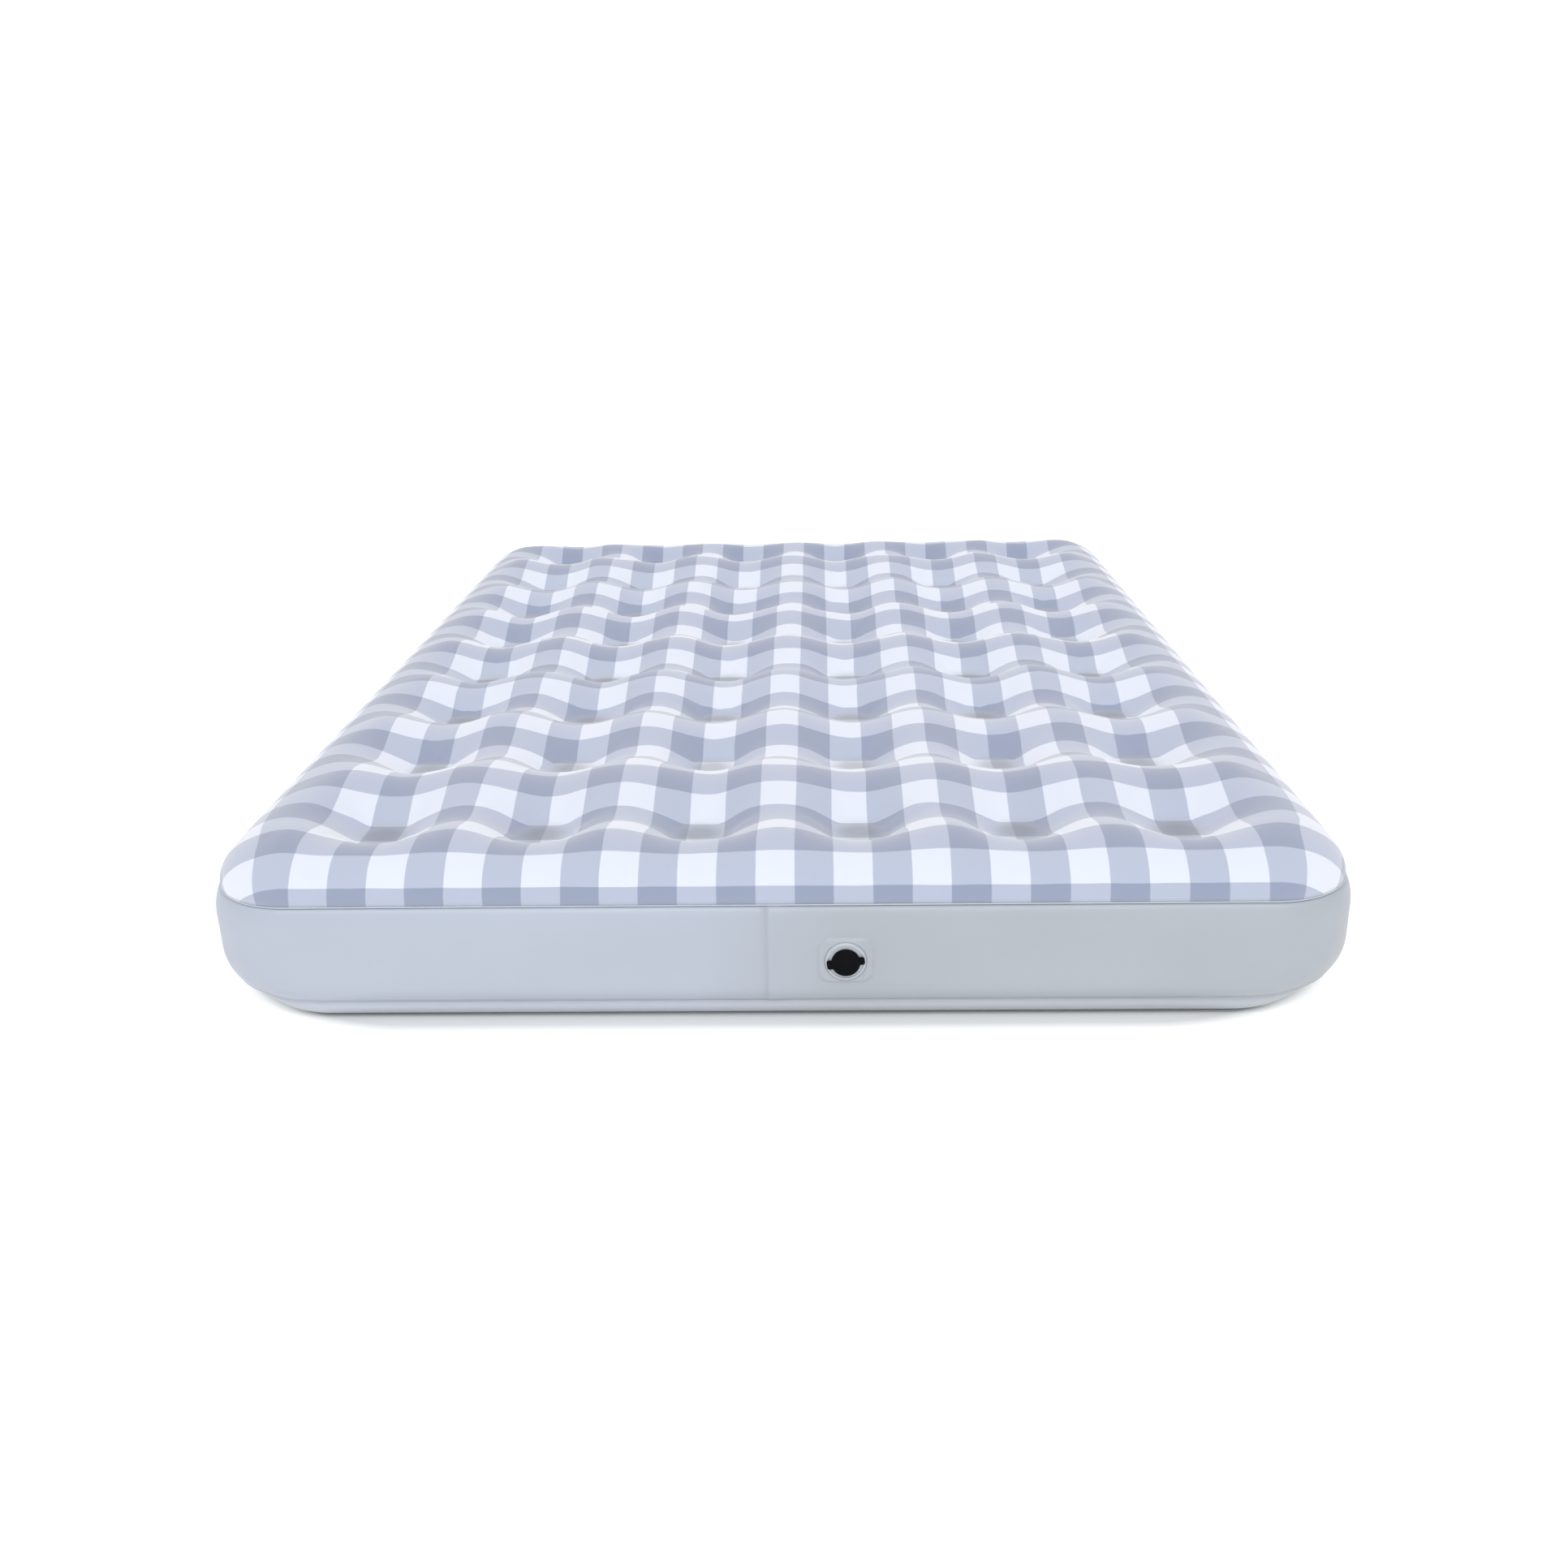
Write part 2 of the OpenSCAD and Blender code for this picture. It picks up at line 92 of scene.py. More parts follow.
# Mesh building
def smoothstep(start, end, value):
    share = np.clip((value - start) / (end - start), 0, 1)
    return share * share * (3 - 2 * share)


def film_length(inset, z):
    """Length of film used so far, at each point along a line."""
    return np.concatenate([[0], np.cumsum(np.hypot(np.diff(inset), np.diff(z)))])


def grid_faces(rows, columns, wrap=False, skip=None):
    """Quads over a grid of points, numbered row by row. skip(row, column) leaves quads out."""
    last = columns if wrap else columns - 1
    return [
        (r * columns + c, r * columns + (c + 1) % columns,
         (r + 1) * columns + (c + 1) % columns, (r + 1) * columns + c)
        for r in range(rows - 1) for c in range(last)
        if skip is None or not skip(r, c)
    ]


def add_object(name, data):
    thing = bpy.data.objects.new(name, data)
    bpy.context.collection.objects.link(thing)
    return thing


def shade_smooth(mesh):
    mesh.polygons.foreach_set("use_smooth", [True] * len(mesh.polygons))


def new_object(name, points, faces, body, slot):
    mesh = bpy.data.meshes.new(name)
    mesh.from_pydata([tuple(p) for p in points], [], faces)
    mesh.validate()
    shade_smooth(mesh)
    mesh.update()
    piece = add_object(name, mesh)
    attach(piece, body)
    return piece


def drop_loose(piece):
    """Deletes points that no face uses."""
    edit = bmesh.new()
    edit.from_mesh(piece.data)
    bmesh.ops.delete(edit, geom=[v for v in edit.verts if not v.link_faces], context="VERTS")
    edit.to_mesh(piece.data)
    edit.free()


def give_thickness(piece):
    film = piece.modifiers.new("film", "SOLIDIFY")
    film.thickness = FILM
    film.offset = -1
    film.use_rim = True


def soft_noise(shape, cells):
    """Smooth noise between about -1 and 1 over a grid, with that many cells along each side."""
    noise = rng.uniform(-1, 1, (cells[0] + 4, cells[1] + 4))
    for count, cell_count in zip(shape, cells):
        at = np.linspace(1, cell_count + 1, count)
        base = np.floor(at).astype(int)
        t = (at - base)[:, None]
        a, b, c, d = (noise[base + k] for k in (-1, 0, 1, 2))
        mixed = 0.5 * (2 * b + (c - a) * t + (2 * a - 5 * b + 4 * c - d) * t**2
                       + (3 * b - a - 3 * c + d) * t**3)
        noise = mixed.T
    return noise


# The quilted sheets. Their grids follow the sheet as it was cut: even steps along the film, which
# rolls over from the flat field to the seam in a quarter of a superellipse.
ROLL_POINTS = 400
COIL_REACH = 200 * MM
FAR = 1.0
TINY = 1e-9


def roll_curve(width, rise, fullness):
    """Distance from the seam and height over it, with the length of film used so far."""
    share = np.cos(np.linspace(0, math.pi / 2, ROLL_POINTS))
    inset = width * (1 - share)
    height = rise * (1 - share**fullness) ** (1 / fullness)
    return inset, height, film_length(inset, height)


def cut_places(half, curve, step):
    """Places along one side of the cut sheet: on the film, and in plan."""
    inset, _, length = curve
    spare = length[-1] - inset[-1]
    cut_half = half + spare
    count = 2 * round(cut_half / step) + 1
    on_film = np.linspace(-cut_half, cut_half, count)
    from_seam = cut_half - np.abs(on_film)
    in_plan = np.where(
        from_seam < length[-1], np.interp(from_seam, length, inset), from_seam - spare)
    return on_film, np.sign(on_film) * (half - in_plan)


def quilt_grid(half_x, half_y, corner_r, curve, step):
    """A sheet with round corners: its places in plan (x, y) and on the film (u, v), its height over
    the seam, the length of film from the seam, and which way is out. from_diagonal is how far round
    the edge a place is from the middle of a corner, and along_side is that, below 0 at the ends."""
    film_x, plan_x = cut_places(half_x, curve, step)
    film_y, plan_y = cut_places(half_y, curve, step)
    x, y = np.meshgrid(plan_x, plan_y)
    u, v = np.meshgrid(film_x, film_y)
    middle_x, middle_y = half_x - corner_r, half_y - corner_r
    past_x, past_y = np.maximum(np.abs(x) - middle_x, 0), np.maximum(np.abs(y) - middle_y, 0)
    reach = np.maximum(past_x, past_y)
    film_reach = np.maximum(np.abs(u) - middle_x, np.abs(v) - middle_y)
    length = np.maximum(np.hypot(past_x, past_y), TINY)
    corner = (past_x > 0) & (past_y > 0)
    turn_x, turn_y = past_x / length, past_y / length
    x = np.where(corner, np.sign(x) * (middle_x + reach * turn_x), x)
    y = np.where(corner, np.sign(y) * (middle_y + reach * turn_y), y)
    u = np.where(corner, np.sign(u) * (middle_x + film_reach * turn_x), u)
    v = np.where(corner, np.sign(v) * (middle_y + film_reach * turn_y), v)
    from_side, from_end = half_x - np.abs(x), half_y - np.abs(y)
    from_seam = np.where(corner, corner_r - reach, np.minimum(from_side, from_end))
    beside = np.where(from_side < from_end, middle_y - np.abs(y), middle_x - np.abs(x))
    round_corner = np.abs(np.arctan2(turn_x, turn_y) - math.pi / 4)
    from_diagonal = np.where(corner, CORNER_R * round_corner, CORNER_R * math.pi / 4 + beside)
    on_side = np.where(corner, turn_x > turn_y, from_side < from_end)
    return SimpleNamespace(
        x=x, y=y, u=u, v=v, from_seam=from_seam, from_diagonal=from_diagonal,
        along_side=np.where(on_side, from_diagonal, -from_diagonal),
        height=np.interp(from_seam, curve[0], curve[1]),
        film=np.interp(from_seam, curve[0], curve[2]),
        way_x=np.sign(x) * turn_x, way_y=np.sign(y) * turn_y)


def coil_field(x, y, profile):
    """Sum of profile(distance, angle, coil number) round every coil, and the least distance."""
    total = np.zeros_like(x)
    nearest = np.full_like(x, FAR)
    for j, cy in enumerate(coil_ys):
        rows = np.abs(y[:, y.shape[1] // 2] - cy) < COIL_REACH
        for i, cx in enumerate(coil_xs):
            columns = np.abs(x[x.shape[0] // 2] - cx) < COIL_REACH
            part = np.ix_(rows, columns)
            dx, dy = x[part] - cx, y[part] - cy
            r = np.hypot(dx, dy)
            total[part] += profile(r, np.arctan2(dy, dx), i + COLUMNS * j)
            nearest[part] = np.minimum(nearest[part], r)
    return total, nearest


# Top sheet
QUILT_STEP = 6.5 * MM
ROLL_W = 119 * MM
ROLL_FULLNESS = 2.0
DIMPLE = CREST_Z - DISC_TOP_Z
DIMPLE_FLAT = 41 * MM
DIMPLE_REACH = 163 * MM
HEAD_EASE = 0.75
HEAD_EASE_FROM_TO = (35 * MM, 100 * MM)
HUMP = 8 * MM
HUMP_FROM_TO = (40 * MM, 160 * MM)
CREASES = 9
CREASE_WAVES = 3
CREASE_H = 1.1 * MM
CREASE_STARTS = (DISC_R - 4 * MM, DISC_R + 16 * MM)
CREASE_ENDS = (60 * MM, 105 * MM)
SWELL = 2.2 * MM
SWELL_CELLS = (26, 34)
SWELL_FROM_TO = (DISC_R, 90 * MM)

# The print is stretched a little near the seam, and slips outwards on the roll of the long sides
STRETCH_U = 0.008
STRETCH_V = 0.0055
STRETCH_REACH = 220 * MM
SIDE_SLIP = 70 * MM
SLIP_FROM_TO = (-110 * MM, 220 * MM)

top_curve = roll_curve(ROLL_W, CREST_Z - TOP_SEAM_Z, ROLL_FULLNESS)
crease_turns = rng.uniform(0, 2 * math.pi, (COILS, CREASE_WAVES))
crease_sizes = rng.uniform(0.3, 1, (COILS, CREASE_WAVES))


def dimple(r, angle, coil):
    """Share of the full depth round one coil. The head end is tauter past its last row."""
    share = np.clip((r - DIMPLE_FLAT) / (DIMPLE_REACH - DIMPLE_FLAT), 0, 1)
    dip = (1 - share) ** 2
    if coil >= COILS - COLUMNS:
        dip = dip * (1 - HEAD_EASE * smoothstep(*HEAD_EASE_FROM_TO, r * np.sin(angle)))
    return dip


def midway(places, coils):
    """1 midway between two lines of coils, and 0 on each line."""
    pitch = coils[2] - coils[1]
    lines = np.concatenate([[coils[0] - pitch], coils, [coils[-1] + pitch]])
    return np.sin(np.pi * np.interp(places, lines, np.arange(len(lines)))) ** 2


def creases(r, angle, coil):
    """Small folds that run out from the weld disc of one coil."""
    wave = sum(
        crease_sizes[coil, k] * np.cos((CREASES + 2 * k) * angle + crease_turns[coil, k])
        for k in range(CREASE_WAVES))
    band = smoothstep(*CREASE_STARTS, r) * (1 - smoothstep(*CREASE_ENDS, r))
    return wave / 2 * band


def make_top():
    grid = quilt_grid(TOP_X, TOP_Y, CORNER_R - TOP_DRAW, top_curve, QUILT_STEP)
    x, y, from_seam = grid.x, grid.y, grid.from_seam
    dips, from_coil = coil_field(x, y, dimple)
    folds, _ = coil_field(x, y, creases)
    open_field = smoothstep(0, ROLL_W, from_seam) * smoothstep(*SWELL_FROM_TO, from_coil)
    swell = soft_noise(x.shape, SWELL_CELLS) * SWELL * open_field
    humps = HUMP * midway(x, coil_xs) * midway(y, coil_ys) * smoothstep(*HUMP_FROM_TO, from_seam)
    z = TOP_SEAM_Z + grid.height - DIMPLE * dips + humps + CREASE_H * folds + swell
    piece = new_object(
        "quilted_top", np.stack([x, y, z], -1).reshape(-1, 3), grid_faces(*x.shape),
        "bed", "printed_flock")
    stretched = 1 - smoothstep(0, STRETCH_REACH, from_seam)
    on_roll = 1 - grid.film / top_curve[2][-1]
    slip = SIDE_SLIP * smoothstep(*SLIP_FROM_TO, grid.along_side) * on_roll
    print_u = grid.u * (1 - STRETCH_U * stretched) - np.sign(grid.u) * slip
    print_v = grid.v * (1 - STRETCH_V * stretched)
    sheet = piece.data.attributes.new("sheet", "FLOAT_VECTOR", "POINT")
    places = np.stack([print_u, print_v, from_coil], -1)
    sheet.data.foreach_set("vector", places.astype(np.float32).ravel())
    give_thickness(piece)
    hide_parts("top_sheet")
    return piece


# Base sheet
BASE_STEP = 11 * MM
BASE_ROLL_W = 90 * MM
BASE_FULLNESS = 4.0
BASE_DIMPLE_FROM_TO = (DISC_R - 6 * MM, 75 * MM)

base_curve = roll_curve(BASE_ROLL_W, LOW_SEAM_Z, BASE_FULLNESS)


def base_dimple(r, angle, coil):
    return 1 - smoothstep(*BASE_DIMPLE_FROM_TO, r)


def make_base():
    grid = quilt_grid(BASE_X, BASE_Y, CORNER_R - LOW_DRAW, base_curve, BASE_STEP)
    dips, _ = coil_field(grid.x, grid.y, base_dimple)
    inset = LOW_DRAW + grid.from_seam
    in_chin, z = chin(
        WALL_FILM + grid.film, inset, LOW_SEAM_Z - grid.height, grid.from_diagonal)
    shift = np.where(grid.from_seam < BASE_ROLL_W, inset - in_chin, 0)
    x, y = grid.x + grid.way_x * shift, grid.y + grid.way_y * shift
    z = z + DISC_LOW_Z * dips
    turned = [face[::-1] for face in grid_faces(*x.shape)]
    piece = new_object(
        "base_sheet", np.stack([x, y, z], -1).reshape(-1, 3), turned, "bed", "wall_film")
    give_thickness(piece)
    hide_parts("bottom_sheet")
    return piece


# Wall. Its rows bow in to both seams, and are flat at the height of the valve. Round the valve the
# grid has a window, filled by rings that close in on the round hole for the collar.
WALL_STEP = 11 * MM
CORNER_COLUMNS = 26
LOW_BOW_ROWS = 5
TOP_BOW_ROWS = 9
WINDOW_X = 46 * MM
WINDOW_Z = FLANGE_Z + 6 * MM
WINDOW_STEP = 4 * MM
WINDOW_RINGS = 12
HOLE_R = COLLAR_R + 0.3 * MM
LAP_X = -13 * MM
LAP_W = 40 * MM
LAP_EDGE = 0.4 * MM
LEDGE = 1.2 * MM
LEDGE_DROP = 2.4 * MM
LEDGE_EDGE = 0.5 * MM
WAVE = 1.6 * MM
WAVE_CELLS = (3, 34)
SAME_PLACE_DIGITS = 7


def even(start, end, step):
    return np.linspace(start, end, max(1, math.ceil(abs(end - start) / step)) + 1)


def ring_path(half_x, half_y, r, front_xs=None):
    """Points and outward normals along a rectangle with round corners, and how far each is from
    the middle of a corner."""
    middle_x, middle_y = half_x - r, half_y - r
    if front_xs is None:
        front_xs = even(-middle_x, middle_x, WALL_STEP)
    points, normals, from_diagonal = [], [], []
    half_arc = CORNER_R * math.pi / 4

    def corner(cx, cy, start):
        for turn in np.radians(np.linspace(0, 90, CORNER_COLUMNS + 1)[1:-1]):
            angle = math.radians(start) + turn
            way = (math.cos(angle), math.sin(angle))
            points.append((cx + r * way[0], cy + r * way[1]))
            normals.append(way)
            from_diagonal.append(CORNER_R * abs(turn - math.pi / 4))

    def side(places, normal):
        points.extend(places)
        normals.extend([normal] * len(places))
        for x, y in places:
            along = middle_y - abs(y) if normal[0] else middle_x - abs(x)
            from_diagonal.append(half_arc + along)

    side([(x, -half_y) for x in front_xs], (0, -1))
    corner(middle_x, -middle_y, -90)
    side([(half_x, y) for y in even(-middle_y, middle_y, WALL_STEP)], (1, 0))
    corner(middle_x, middle_y, 0)
    side([(x, half_y) for x in even(middle_x, -middle_x, WALL_STEP)], (0, 1))
    corner(-middle_x, middle_y, 90)
    side([(-half_x, y) for y in even(middle_y, -middle_y, WALL_STEP)], (-1, 0))
    corner(-middle_x, -middle_y, 180)
    return np.array(points), np.array(normals), np.array(from_diagonal)


def bow(draw, rise, steps):
    """Inset and height of an arc that leaves the flat band upright, for a rise of that height."""
    r = (rise * rise + draw * draw) / (2 * draw)
    z = np.linspace(0, rise, steps + 1)
    return r - np.sqrt(r * r - z * z), z


def wall_rows():
    """Inset and height of each row of the wall, from the lower seam to the top seam, and the first
    and last row of its flat band."""
    flat_low, flat_top = VALVE_Z - WINDOW_Z, VALVE_Z + WINDOW_Z
    low_inset, low_z = bow(LOW_DRAW, flat_low - LOW_SEAM_Z, LOW_BOW_ROWS)
    top_inset, top_z = bow(TOP_DRAW, TOP_SEAM_Z - flat_top, TOP_BOW_ROWS)
    flat_z = even(flat_low, flat_top, WINDOW_STEP)
    ledge_z = TOP_SEAM_Z - np.array([LEDGE_DROP, LEDGE_DROP - LEDGE_EDGE, 0])
    ledge_inset = np.array([TOP_DRAW, TOP_DRAW + LEDGE, TOP_DRAW + LEDGE])
    inset = np.concatenate([low_inset[:0:-1], np.zeros(len(flat_z)), top_inset[1:-1], ledge_inset])
    z = np.concatenate([flat_low - low_z[:0:-1], flat_z, flat_top + top_z[1:-1], ledge_z])
    first = len(low_z) - 1
    return inset, z, first, first + len(flat_z) - 1


# At a corner the film of wall and base runs down to the floor in one round chin
CHIN_W = 90 * MM
CHIN_H = 85 * MM
CHIN_NEAR = 20 * MM
CHIN_FAR = 140 * MM
CHIN_POINTS = 100


def chin_line():
    """Inset and height along the chin, and on over the floor to where the base lies flat."""
    angle = np.linspace(0, math.pi / 2, CHIN_POINTS)
    return (np.append(CHIN_W * (1 - np.cos(angle)), LOW_DRAW + BASE_ROLL_W),
            np.append(CHIN_H * (1 - np.sin(angle)), 0))


wall_inset, wall_z, first_flat, last_flat = wall_rows()
below_z = np.linspace(CHIN_H, LOW_SEAM_Z, CHIN_POINTS)
below_film = film_length(np.interp(below_z, wall_z, wall_inset), below_z)
WALL_FILM = below_film[-1]
chin_inset, chin_z = chin_line()
chin_film = film_length(chin_inset, chin_z)


def chin(film, inset, z, from_diagonal):
    """Inset and height of film near a corner, that far down from the top of the chin."""
    share = (1 - smoothstep(CHIN_NEAR, CHIN_FAR, from_diagonal)) * (film > 0)
    along = film / (WALL_FILM + base_curve[2][-1]) * chin_film[-1]
    return (inset + share * (np.interp(along, chin_film, chin_inset) - inset),
            z + share * (np.interp(along, chin_film, chin_z) - z))


def chin_of_wall(z, inset, from_diagonal):
    film = np.interp(-z, -below_z, below_film, left=-1)
    return chin(film, inset, z, from_diagonal)


FLANGE_CORNER = 16 * MM
FLANGE_H = 3.0 * MM
FLANGE_EDGE = 2.5 * MM
COLLAR_LIFT = 1.2 * MM
COLLAR_LIFT_W = 6 * MM


def valve_relief(x, z):
    """How far the film stands out over the valve's flange and round its collar."""
    dx, dz = x - VALVE_X, z - VALVE_Z
    qx = np.abs(dx) - (FLANGE_X - FLANGE_CORNER)
    qz = np.abs(dz) - (FLANGE_Z - FLANGE_CORNER)
    round_corner = np.hypot(np.maximum(qx, 0), np.maximum(qz, 0))
    outside = round_corner + np.minimum(np.maximum(qx, qz), 0) - FLANGE_CORNER
    over_flange = FLANGE_H * (1 - smoothstep(-FLANGE_EDGE, FLANGE_EDGE, outside))
    r = np.hypot(dx, dz)
    up_collar = COLLAR_LIFT * np.clip(1 - (r - HOLE_R) / COLLAR_LIFT_W, 0, 1) ** 2
    return over_flange + up_collar


def window_rings(points, loop):
    """The points with those of the rings in the window added, and the faces of the rings."""
    edge = points[loop]
    turn = np.arctan2(edge[:, 2] - VALVE_Z, edge[:, 0] - VALVE_X)
    hole_x, hole_z = VALVE_X + HOLE_R * np.cos(turn), VALVE_Z + HOLE_R * np.sin(turn)
    count = len(loop)
    faces = []
    for ring in range(1, WINDOW_RINGS + 1):
        share = ring / WINDOW_RINGS
        x = edge[:, 0] + (hole_x - edge[:, 0]) * share
        z = edge[:, 2] + (hole_z - edge[:, 2]) * share
        inner = range(len(points), len(points) + count)
        points = np.concatenate([points, np.stack([x, -WALL_Y - valve_relief(x, z), z], -1)])
        faces += [(loop[k], loop[(k + 1) % count], inner[(k + 1) % count], inner[k])
                  for k in range(count)]
        loop = inner
    return points, faces


def make_wall():
    middle_x = WALL_X - CORNER_R
    window = [VALVE_X - WINDOW_X, VALVE_X + WINDOW_X]
    front_xs = np.unique(np.round(np.concatenate([
        even(-middle_x, LAP_X - LAP_EDGE, WALL_STEP), even(LAP_X, window[0], WALL_STEP / 2),
        even(*window, WINDOW_STEP), even(window[1], middle_x, WALL_STEP)]), SAME_PLACE_DIGITS))
    path, normals, from_diagonal = ring_path(WALL_X, WALL_Y, CORNER_R, front_xs)
    rows, columns = len(wall_z), len(path)
    on_front = np.arange(columns) < len(front_xs)
    from_valve = np.abs(path[:, 0] - VALVE_X)

    upright = np.sin(np.pi * (wall_z - LOW_SEAM_Z) / (TOP_SEAM_Z - LOW_SEAM_Z))
    waves = soft_noise((rows, columns), WAVE_CELLS) * WAVE * upright[:, None]
    waves *= smoothstep(WINDOW_X, 3 * WINDOW_X, np.where(on_front, from_valve, FAR))
    past_lap = path[:, 0] - LAP_X
    over_lap = on_front * (past_lap > -LAP_EDGE / 2) * (1 - smoothstep(0, LAP_W, past_lap))
    inset, z = chin_of_wall(wall_z[:, None], wall_inset[:, None], from_diagonal)
    out = waves - inset + FILM * over_lap
    near = on_front & (from_valve < 2 * WINDOW_X)
    out += np.where(near, valve_relief(path[:, 0], z), 0)
    points = np.concatenate(
        [path[None] + normals[None] * out[..., None], z[..., None]], -1).reshape(-1, 3)

    first = int(np.argmin(np.abs(front_xs - window[0])))
    last = int(np.argmin(np.abs(front_xs - window[1])))
    faces = grid_faces(rows, columns, wrap=True, skip=lambda r, c: (
        first_flat <= r < last_flat and first <= c < last))
    loop = [first_flat * columns + c for c in range(first, last)]
    loop += [r * columns + last for r in range(first_flat, last_flat)]
    loop += [last_flat * columns + c for c in range(last, first, -1)]
    loop += [r * columns + first for r in range(last_flat, first_flat, -1)]
    points, ring_faces = window_rings(points, loop)
    piece = new_object("wall_band", points, faces + ring_faces, "bed", "wall_film")
    drop_loose(piece)
    give_thickness(piece)
    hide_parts("side_wall")
    return piece


WELD_SIDES = 10


def make_weld(name, draw, z, out, tall, slot):
    """A rounded rib of weld round the bladder, where a sheet meets the wall."""
    path, normals, from_diagonal = ring_path(WALL_X - draw, WALL_Y - draw, CORNER_R - draw)
    inset, level = chin_of_wall(z, draw, from_diagonal)
    turns = np.linspace(0, 2 * math.pi, WELD_SIDES + 1)[:-1]
    points = [
        [*(path[k] + normals[k] * (out * math.cos(a) + draw - inset[k])),
         level[k] + tall * math.sin(a)]
        for k in range(len(path)) for a in turns]
    count, sides = len(path), WELD_SIDES
    faces = [
        (k * sides + s, ((k + 1) % count) * sides + s,
         ((k + 1) % count) * sides + (s + 1) % sides, k * sides + (s + 1) % sides)
        for k in range(count) for s in range(sides)]
    return new_object(name, points, faces, "bed", slot)


# Valve cap. It is turned round Z with its face up, w being the height out from the wall, and then
# put in its place in the wall.
CAP_R = (high("cap_gasket").x - low("cap_gasket").x) / 2
CAP_W = -WALL_Y - low("cap_gasket").y
CAP_FACE_W = -WALL_Y - low("valve_cap").y
PLUG_R = 16.2 * MM
PLUG_T = 2.2 * MM
PLUG_FLOOR = 0.4 * MM
PLUG_END_W = -WALL_Y - high("valve_cap").y
PLUG_FILLET = 0.5 * MM
CAP_LOW_FILLET = 0.3 * MM
CAP_FACE_FILLET = 1.2 * MM
# Radius, depth under the face and fillet, in mm: a rim, and a shallow dish with a low ring in it
CAP_DISH = (
    (13.2, 0, 0.3), (12.4, 0.8, 0.3), (8.4, 0.8, 0.2), (7.8, 0.3, 0.2), (6.9, 0.3, 0.2),
    (6.3, 0.8, 0.2), (0, 0.8, 0))
LATHE_SIDES = 96
FILLET_STEPS = 4
SHARP_ANGLE = math.radians(40)
EAR_ROOT = 14 * MM
EAR_TIP = 24.5 * MM
EARS = ((1, 11 * MM), (-1, 13 * MM))  # side and width
EAR_CORNER_R = 3 * MM
EAR_LOW_W = CAP_W + 0.9 * MM
EAR_HIGH_W = CAP_FACE_W - 1.0 * MM
EAR_EDGE = 0.45 * MM
EAR_EDGE_MIDDLE = EAR_EDGE * 0.3
EAR_TILT = math.radians(8)
valve_frame = (
    Matrix.Translation((VALVE_X, -WALL_Y, VALVE_Z)) @ Matrix.Rotation(math.pi / 2, 4, "X"))


def lathe(profile):
    """Points and faces of a profile of (radius, height) turned once round Z, from pole to pole."""
    rings = [(r, w) for r, w in profile if r > 0]
    turns = [2 * math.pi * k / LATHE_SIDES for k in range(LATHE_SIDES)]
    points = [(r * math.cos(a), r * math.sin(a), w) for r, w in rings for a in turns]
    faces = grid_faces(len(rings), LATHE_SIDES, wrap=True)
    bottom, top = len(points), len(points) + 1
    points += [(0, 0, profile[0][1]), (0, 0, profile[-1][1])]
    last = (len(rings) - 1) * LATHE_SIDES
    faces += [(bottom, (k + 1) % LATHE_SIDES, k) for k in range(LATHE_SIDES)]
    faces += [(top, last + k, last + (k + 1) % LATHE_SIDES) for k in range(LATHE_SIDES)]
    return points, faces


def rounded(corner, before, after, r):
    """Points of a fillet of about that radius at a corner of a profile."""
    corner, before, after = Vector(corner), Vector(before), Vector(after)
    a = corner + (before - corner).normalized() * r
    b = corner + (after - corner).normalized() * r
    return [tuple((1 - t) ** 2 * a + 2 * t * (1 - t) * corner + t * t * b)
            for t in np.linspace(0, 1, FILLET_STEPS + 1)]


def filleted(profile):
    """A profile of (radius, height, fillet) as plain points, with its corners rounded."""
    corners = [(r, w) for r, w, _ in profile]
    out = [corners[0]]
    for k in range(1, len(corners) - 1):
        fillet = profile[k][2]
        if fillet:
            out += rounded(corners[k], corners[k - 1], corners[k + 1], fillet)
        else:
            out.append(corners[k])
    return out + [corners[-1]]


def make_cap():
    inside = PLUG_R - PLUG_T
    profile = [
        (0, CAP_W - PLUG_FLOOR, 0), (inside, CAP_W - PLUG_FLOOR, 0), (inside, PLUG_END_W, 0),
        (PLUG_R, PLUG_END_W, PLUG_FILLET), (PLUG_R, CAP_W, 0), (CAP_R, CAP_W, CAP_LOW_FILLET),
        (CAP_R, CAP_FACE_W, CAP_FACE_FILLET)]
    profile += [(r * MM, CAP_FACE_W - depth * MM, fillet * MM) for r, depth, fillet in CAP_DISH]
    piece = new_object("plug_cap", *lathe(filleted(profile)), "cap", "black_plastic")
    ears = [make_ear(side, width) for side, width in EARS]
    for ear in ears:
        join = piece.modifiers.new("ear", "BOOLEAN")
        join.operation = "UNION"
        join.solver = "EXACT"
        join.object = ear
    piece.data.transform(valve_frame)
    for ear in ears:
        ear.data.transform(Matrix.Rotation(EAR_TILT, 4, "Z"))
        ear.data.transform(valve_frame)
    bpy.context.view_layer.update()
    joined = piece.evaluated_get(bpy.context.evaluated_depsgraph_get())
    solid = bpy.data.meshes.new_from_object(joined)
    piece.modifiers.clear()
    piece.data = solid
    for ear in ears:
        bpy.data.objects.remove(ear)
    shade_smooth(solid)
    solid.set_sharp_from_angle(angle=SHARP_ANGLE)
    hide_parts("valve_cap")
    return piece


